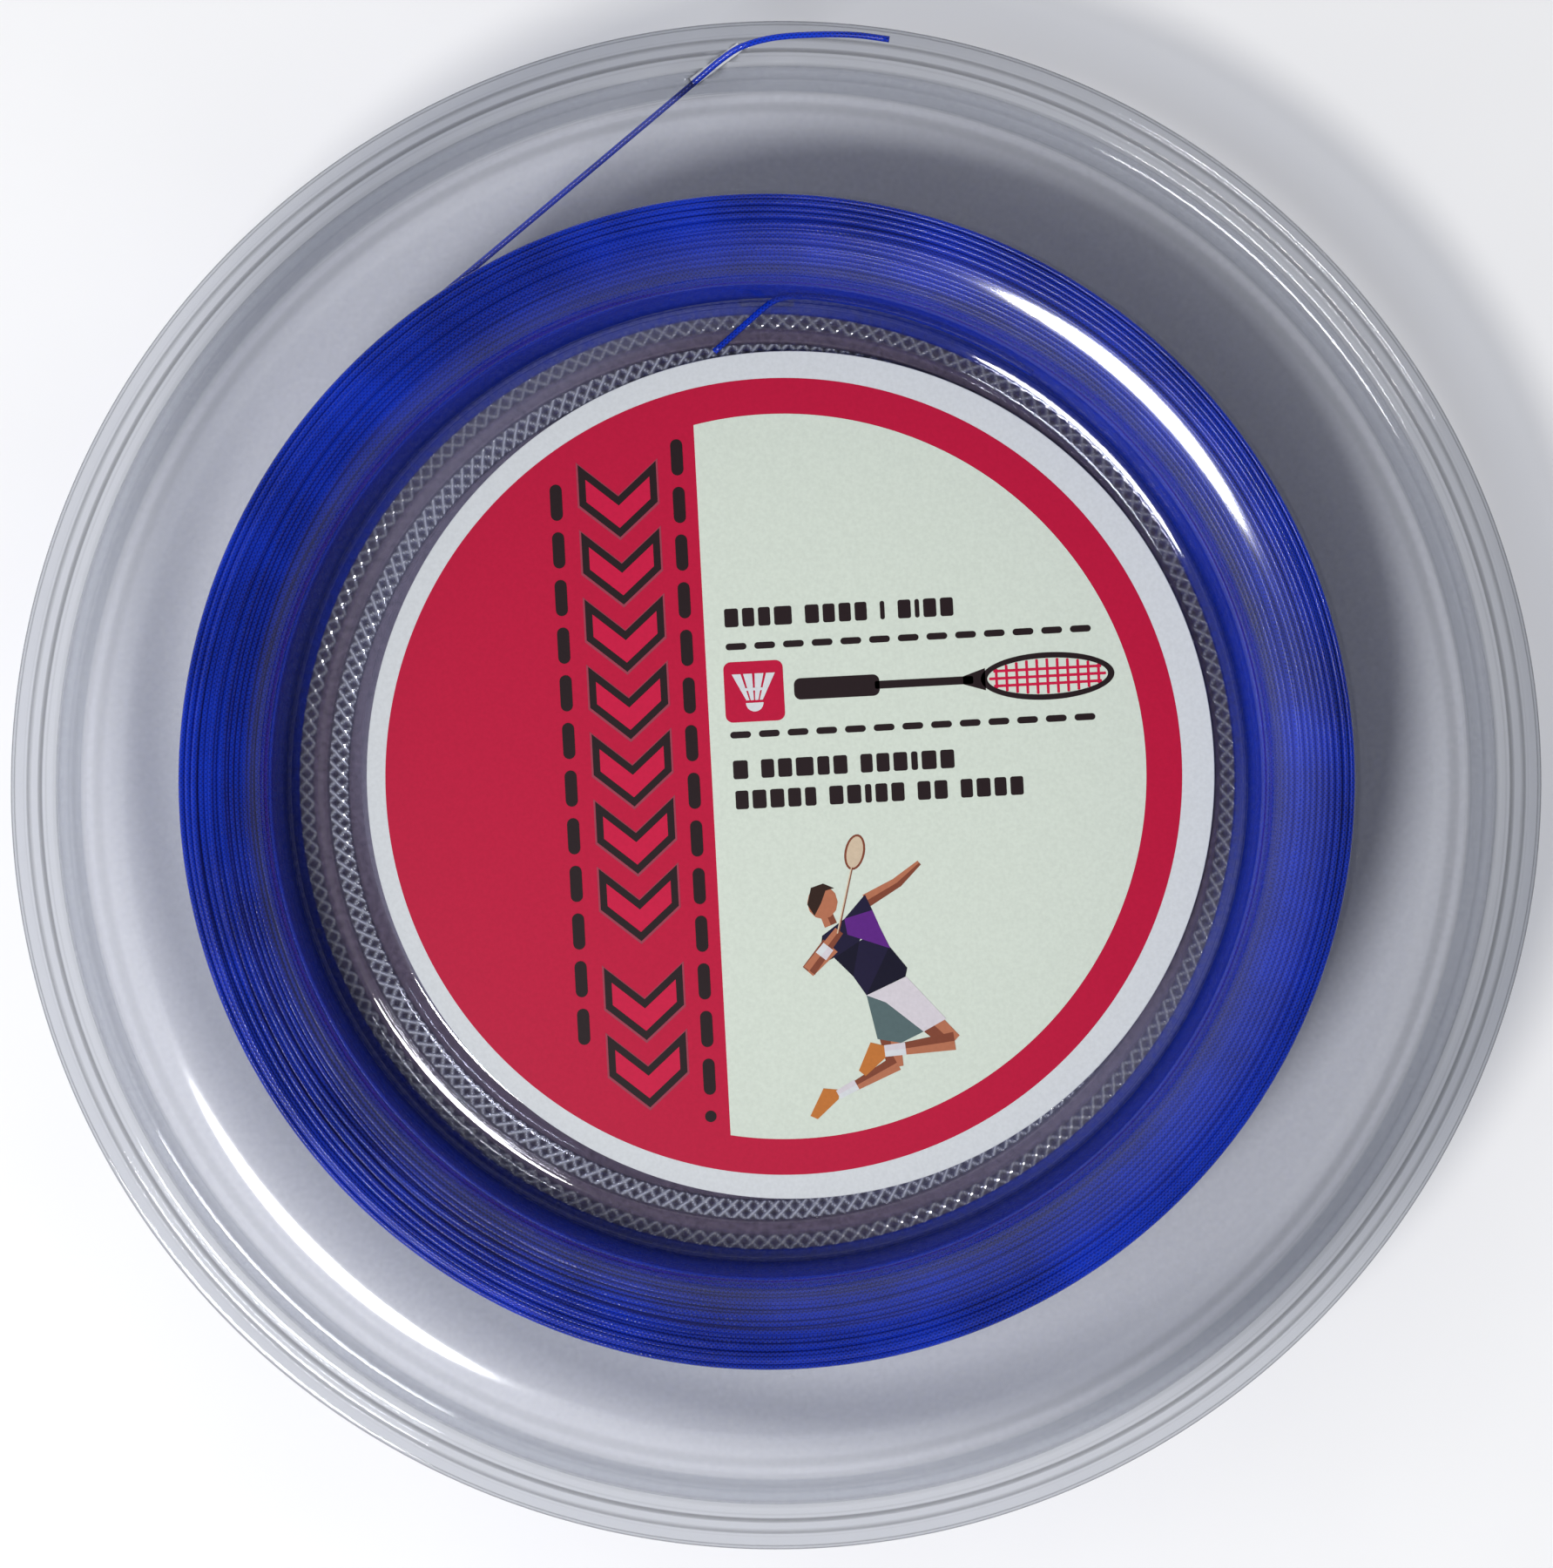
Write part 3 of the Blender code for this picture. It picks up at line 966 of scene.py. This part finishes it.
def label_disc(name, node, finish, slot):
    """A paper disc with a softened edge, the size of its CAD solid; gives its centre and its top."""
    low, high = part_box(node)
    centre = (low + high) / 2
    radius = (high.x - low.x) / 2
    thick = high.z - low.z
    edge = 0.06 * MM
    flat = radius * 0.6
    steps = 256
    angle = np.arange(steps) / steps * tau
    outline = [
        (flat, 0.0),
        (radius - edge, 0.0),
        (radius, edge),
        (radius, thick - edge),
        (radius - edge, thick),
        (flat, thick),
    ]
    rings = []
    for r, z in outline:
        x, y = centre.x + r * np.cos(angle), centre.y + r * np.sin(angle)
        rings.append(np.stack([x, y, np.full(steps, low.z + z)], axis=1))
    numbers = [list(range(k * steps, (k + 1) * steps)) for k in range(len(rings))]
    faces = [numbers[0][::-1], numbers[-1]]
    for here, there in zip(numbers, numbers[1:]):
        faces += stitch(here, there)
    piece = add_piece(name, mesh_of(name, np.concatenate(rings), faces), finish, slot, node)
    piece.data.set_sharp_from_angle(angle=radians(30))
    return centre, high.z


def chevron(x, y, wide, tall, thick):
    """A downward arrowhead outline: a band bent in its middle."""
    return [
        (x - wide / 2, y + tall / 2),
        (x - wide / 2, y + tall / 2 - thick),
        (x, y - tall / 2),
        (x + wide / 2, y + tall / 2 - thick),
        (x + wide / 2, y + tall / 2),
        (x, y - tall / 2 + thick),
    ]


def print_side_column(art):
    """The crimson side: two dashed lines and, between them, a column of outlined arrowheads."""
    long, wide, pitch = 3.9, 1.3, 5.13
    for x, top, count in ((-22.9, 30.66, 12), (-9.7, 34.86, 14)):
        for k in range(count):
            art.fill(capsule(x, top - k * pitch, long, wide, upright=True), "black", 3)
    art.fill(arc(0.62, 0, 350, 20, (-9.75, -36.1)), "black", 3)
    column, top, arrow_pitch, break_after, break_gap = -16.2, 30.6, 7.25, 6, 3.4
    for k in range(9):
        y = top - k * arrow_pitch - (break_gap if k > break_after else 0)
        halo = chevron(column, y - 0.02, 8.8, 8.6, 4.85)
        outer = chevron(column, y, 8.4, 8.0, 4.4)
        inner = chevron(column, y - 0.32, 6.9, 5.38, 2.42)
        art.fill(halo, "halo", 2)
        art.ring(outer, inner, "black", 3)
        art.fill(inner, "bright_red", 2.5)


def print_blocks(art, x, y, words):
    """A line of small upright blocks in groups, in the place of lettering, from the blocks' widths."""
    tall, gap, word_gap, corner = 2.0, 0.42, 1.0, 0.25
    for word in words:
        for wide in word:
            art.fill(rounded_box(x + wide / 2, y, wide, tall, corner), "black", 3)
            x += wide + gap
        x += word_gap


def print_shuttlecock(art, x, y, size, colour):
    """A shuttlecock: a round cork under four spread feathers."""
    art.fill(arc(0.17 * size, 180, 360, 12, (x, y - 0.2 * size)), colour, 4)
    for k in range(4):
        foot = x + (k - 1.5) * 0.085 * size
        head = x + (k - 1.5) * 0.22 * size
        feather = [
            (foot - 0.03 * size, y - 0.15 * size),
            (foot + 0.03 * size, y - 0.15 * size),
            (head + 0.085 * size, y + 0.36 * size),
            (head - 0.085 * size, y + 0.36 * size),
        ]
        art.fill(feather, colour, 4)
    art.fill(rounded_box(x, y + 0.06 * size, 0.52 * size, 0.05 * size, 0.02 * size), colour, 4.5)


def print_racket(art, x, y):
    """A racket lying on its side: black grip and shaft, black head frame, red strings."""
    art.fill(rounded_box(x + 4.6, y, 9.2, 2.3, 0.7), "black", 3)
    art.fill(rounded_box(x + 14.0, y, 10.6, 0.85, 0.2), "black", 3)
    throat = [(x + 18.2, y - 0.42), (x + 20.6, y - 1.2), (x + 20.6, y + 1.2), (x + 18.2, y + 0.42)]
    art.fill(throat, "black", 3)
    middle = x + 27.3
    art.ring(oval(middle, y, 7.2, 2.55, 64), oval(middle, y, 6.5, 1.95, 64), "black", 3)
    string, corner = 0.3, 0.1
    for k in range(-5, 6):
        reach = 1.9 * (1 - (k / 6) ** 2) ** 0.5
        art.fill(rounded_box(middle + k * 1.1, y, string, 2 * reach, corner), "bright_red", 2.5)
    for k in range(-1, 2):
        reach = 6.3 * (1 - (k / 2.6) ** 2) ** 0.5
        art.fill(rounded_box(middle, y + k * 0.8, 2 * reach, string, corner), "bright_red", 2.7)


def limb(art, start, end, wide, narrow, light, dark, level):
    """A tapering limb in two facets, light on its left and dark on its right."""
    a, b = Vector(start), Vector(end)
    side = Vector((-(b - a).y, (b - a).x)).normalized()
    art.fill([a, b, b + side * narrow / 2, a + side * wide / 2], light, level)
    art.fill([a - side * wide / 2, b - side * narrow / 2, b, a], dark, level)


def print_player(art, x, y, scale):
    """A faceted sports figure in a leap, holding a racket up, with a plain head.

    Each shape lies a little above the one before it, so the order is from the back to the front.
    """
    layer_step = 0.05
    levels = iter(3 + layer_step * k for k in range(100))

    def at(u, v):
        return (x + u * scale, y + v * scale)

    def facet(points, colour):
        art.fill([at(*p) for p in points], colour, next(levels))

    def arm(start, end, wide, narrow, light="skin", dark="shaded_skin"):
        limb(art, at(*start), at(*end), wide * scale, narrow * scale, light, dark, next(levels))

    arm((-2.4, 12.9), (2.2, 15.3), 1.9, 1.4)
    arm((2.0, 15.2), (5.2, 17.8), 1.5, 0.7)
    arm((-7.4, 9.8), (-8.2, 12.0), 1.8, 1.7)
    facet(oval(-8.4, 13.0, 2.1, 2.3, 12), "skin")
    hair = [(-10.5, 12.8), (-9.6, 11.2), (-8.6, 12.9), (-7.9, 14.6), (-6.7, 14.9), (-8.2, 15.6), (-9.9, 15.1)]
    facet(hair, "hair")
    facet([(-8.7, 8.4), (-9.3, 4.4), (-7.2, 5.3)], "deep_navy")
    facet([(-8.7, 8.4), (-7.2, 5.3), (-3.6, 7.4), (-5.5, 10.6)], "navy")
    facet([(-5.5, 10.6), (-3.6, 7.4), (-1.6, 11.6), (-2.5, 13.8)], "navy")
    facet([(-7.2, 5.3), (-4.7, 2.6), (-3.6, 7.4)], "deep_navy")
    facet([(-3.6, 7.4), (-4.7, 2.6), (-3.0, -0.1), (0.5, 6.5)], "navy")
    facet([(0.5, 6.5), (-3.0, -0.1), (2.5, 2.2), (2.8, 3.4)], "deep_navy")
    facet([(-3.6, 7.4), (0.5, 6.5), (-0.6, 9.0)], "navy")
    facet([(-5.5, 10.6), (-5.2, 8.4), (-0.6, 9.0), (-1.6, 11.6)], "purple")
    facet([(-5.2, 8.4), (0.6, 6.2), (-0.6, 9.0)], "purple")
    arm((-0.2, -5.2), (0.5, -10.2), 3.0, 2.2)
    arm((0.7, -9.6), (-5.4, -12.6), 2.2, 1.3)
    facet([(-7.4, -12.9), (-9.6, -12.6), (-11.6, -16.3), (-10.6, -16.8), (-7.6, -14.2)], "tan")
    arm((-5.0, -12.3), (-7.6, -13.6), 1.5, 1.3, "white", "pale_cloth")
    arm((5.8, -4.4), (8.6, -7.2), 3.2, 2.6)
    arm((8.8, -7.0), (0.9, -7.8), 2.5, 1.6)
    facet([(-0.8, -7.2), (-2.8, -6.6), (-4.6, -10.4), (-3.7, -11.2), (-0.8, -8.8)], "tan")
    arm((2.0, -7.7), (-0.9, -7.9), 1.7, 1.6, "white", "pale_cloth")
    facet([(-3.0, -0.1), (-1.8, -6.2), (1.4, -6.9), (-0.4, -1.2)], "shaded_cloth")
    facet([(-3.0, -0.1), (-0.4, -1.2), (2.6, 2.2)], "pale_cloth")
    facet([(-0.4, -1.2), (4.6, -5.5), (7.8, -3.9), (2.6, 2.2)], "pale_cloth")
    facet([(-0.4, -1.2), (1.4, -6.9), (4.6, -5.5)], "shaded_cloth")
    arm((-7.6, 7.0), (-10.9, 3.6), 2.6, 1.9)
    arm((-10.7, 3.7), (-6.3, 9.0), 1.9, 1.3)
    arm((-9.0, 5.6), (-7.9, 6.9), 1.8, 1.7, "white", "pale_cloth")
    middle, lean = at(-3.6, 19.7), -14
    head = turned(oval(*middle, 1.4 * scale, 2.5 * scale, 24), lean, middle)
    net = turned(oval(*middle, 1.1 * scale, 2.2 * scale, 24), lean, middle)
    art.ring(head, net, "shaded_skin", 3)
    art.fill(net, "beige", 2.5)
    arm((-6.5, 8.6), (-4.1, 17.6), 0.34, 0.28, "beige", "shaded_skin")


def make_labels():
    inks = {name: print_material(name + "_ink", colour) for name, colour in INKS.items()}
    paper = print_material("label_paper", INKS["white"], 0.36)
    centre, top = label_disc("front_label_paper", "front_label", paper, "front_label_print")
    art = Print("front_label_art", centre + ART_SHIFT, top, ART_TILT)
    art.fill(arc(42.85, 0, 359, 359), "crimson", 1)
    panel, panel_side = 39.0, -7.72
    half_angle = np.degrees(np.arccos(panel_side / panel))
    art.fill(arc(panel, -half_angle, half_angle, 220), "cream", 2)
    print_side_column(art)
    for line in (14.2, 4.7):
        for k in range(13):
            art.fill(capsule(-4.4 + k * 3.09, line, 2.25, 0.72), "black", 3)
    first_line = [(1.5, 1.3, 1.3, 1.9), (1.5, 1.3, 1.3, 1.3), (0.5,), (1.4, 0.5, 1.4, 1.4)]
    second_line = [(1.6,), (1.4, 1.5, 1.9, 1.3, 1.5), (1.3, 1.4, 1.5, 0.7, 1.6, 1.5)]
    third_line = [(1.4, 1.5, 1.5, 1.4, 1.2), (1.5, 1.5, 0.7, 1.3, 1.4), (1.4, 1.4), (1.3, 1.5, 1.3, 1.4)]
    print_blocks(art, -5.5, 17.3, first_line)
    print_blocks(art, -5.4, 0.95, second_line)
    print_blocks(art, -5.3, -2.3, third_line)
    art.fill(rounded_box(-2.7, 9.3, 6.4, 6.5, 0.8), "crimson", 3)
    print_shuttlecock(art, -2.7, 9.2, 5.6, "white")
    print_racket(art, 1.6, 9.3)
    print_player(art, 10.0, -23.9, 0.78)
    art.finish(inks, "front_label_print", "front_label")
    label_disc("rear_label_disc", "rear_label", paper, "rear_label_paper")


# --- Room ------------------------------------------------------------------------------------------


def add_floor():
    half = 3.0
    mesh = bpy.data.meshes.new("floor")
    corners = [(-half, -half, 0), (half, -half, 0), (half, half, 0), (-half, half, 0)]
    mesh.from_pydata(corners, [], [(0, 1, 2, 3)])
    floor = bpy.data.objects.new("floor", mesh)
    bpy.context.scene.collection.objects.link(floor)
    floor.location.z = -0.02 * MM
    made, nodes, link, output = new_material("pale_floor")
    place = nodes.new("ShaderNodeTexCoord").outputs["Object"]
    shader = nodes.new("ShaderNodeBsdfPrincipled")
    mottle = noise(nodes, link, place, 30.0, 2.0)
    shades = [(0.3, (0.90, 0.90, 0.905)), (0.7, (0.92, 0.92, 0.925))]
    link(ramp(nodes, link, mottle, shades), shader.inputs["Base Color"])
    shader.inputs["Roughness"].default_value = 0.8
    link(shader.outputs[0], output.inputs["Surface"])
    mesh.materials.append(made)


def add_softbox(name, azimuth, zenith, distance, wide, tall, power):
    """An oval lamp that faces the reel, at an azimuth and an angle from straight above, in degrees."""
    data = bpy.data.lights.new(name, "AREA")
    data.shape = "ELLIPSE"
    data.size = wide
    data.size_y = tall
    data.energy = power
    lamp = bpy.data.objects.new(name, data)
    a, z = radians(azimuth), radians(zenith)
    away = Vector((sin(z) * cos(a), sin(z) * sin(a), cos(z)))
    lamp.location = away * distance
    lamp.rotation_mode = "QUATERNION"
    lamp.rotation_quaternion = away.to_track_quat("Z", "Y")
    bpy.context.scene.collection.objects.link(lamp)


def add_room_light():
    """A surround that is bright near the horizon and on the left, and dark overhead."""
    world = bpy.data.worlds.new("room")
    bpy.context.scene.world = world
    world.use_nodes = True
    nodes = world.node_tree.nodes
    nodes.clear()

    def link(source, target):
        world.node_tree.links.new(source, target)

    place = nodes.new("ShaderNodeTexCoord").outputs["Generated"]
    parts = nodes.new("ShaderNodeSeparateXYZ")
    link(place, parts.inputs[0])
    leftward = maths(nodes, link, "MULTIPLY", parts.outputs["X"], 0.35)
    tone = maths(nodes, link, "ADD", parts.outputs["Z"], leftward)
    shades = [(0.0, (0.93, 0.94, 0.97)), (0.82, (0.34, 0.345, 0.36)), (0.97, (0.035, 0.035, 0.04))]
    background = nodes.new("ShaderNodeBackground")
    link(ramp(nodes, link, tone, shades), background.inputs["Color"])
    output = nodes.new("ShaderNodeOutputWorld")
    link(background.outputs[0], output.inputs["Surface"])


def add_lights():
    add_softbox("key", 226.0, 25.0, 0.85, 0.225, 0.137, 5.25)
    add_room_light()


# --- The scene -------------------------------------------------------------------------------------


def main():
    bpy.context.scene.view_settings.view_transform = "Standard"
    add_camera()
    blue = string_material("blue_string", (0.0006, 0.005, 0.10), (0.003, 0.040, 0.60), 0.13)
    add_loose_end("string_tail", tail_route(), blue)
    add_loose_end("string_inner_end", inner_route(), blue)
    make_shells()
    # A lighter copy of the same blue string for the bore: painted light
    painted_light_bore_blue = string_material("bore_string_painted_light", (0.0015, 0.014, 0.32), (0.006, 0.06, 0.85), 0.16)
    make_winding(blue, painted_light_bore_blue)
    make_labels()
    add_floor()
    add_lights()


main()
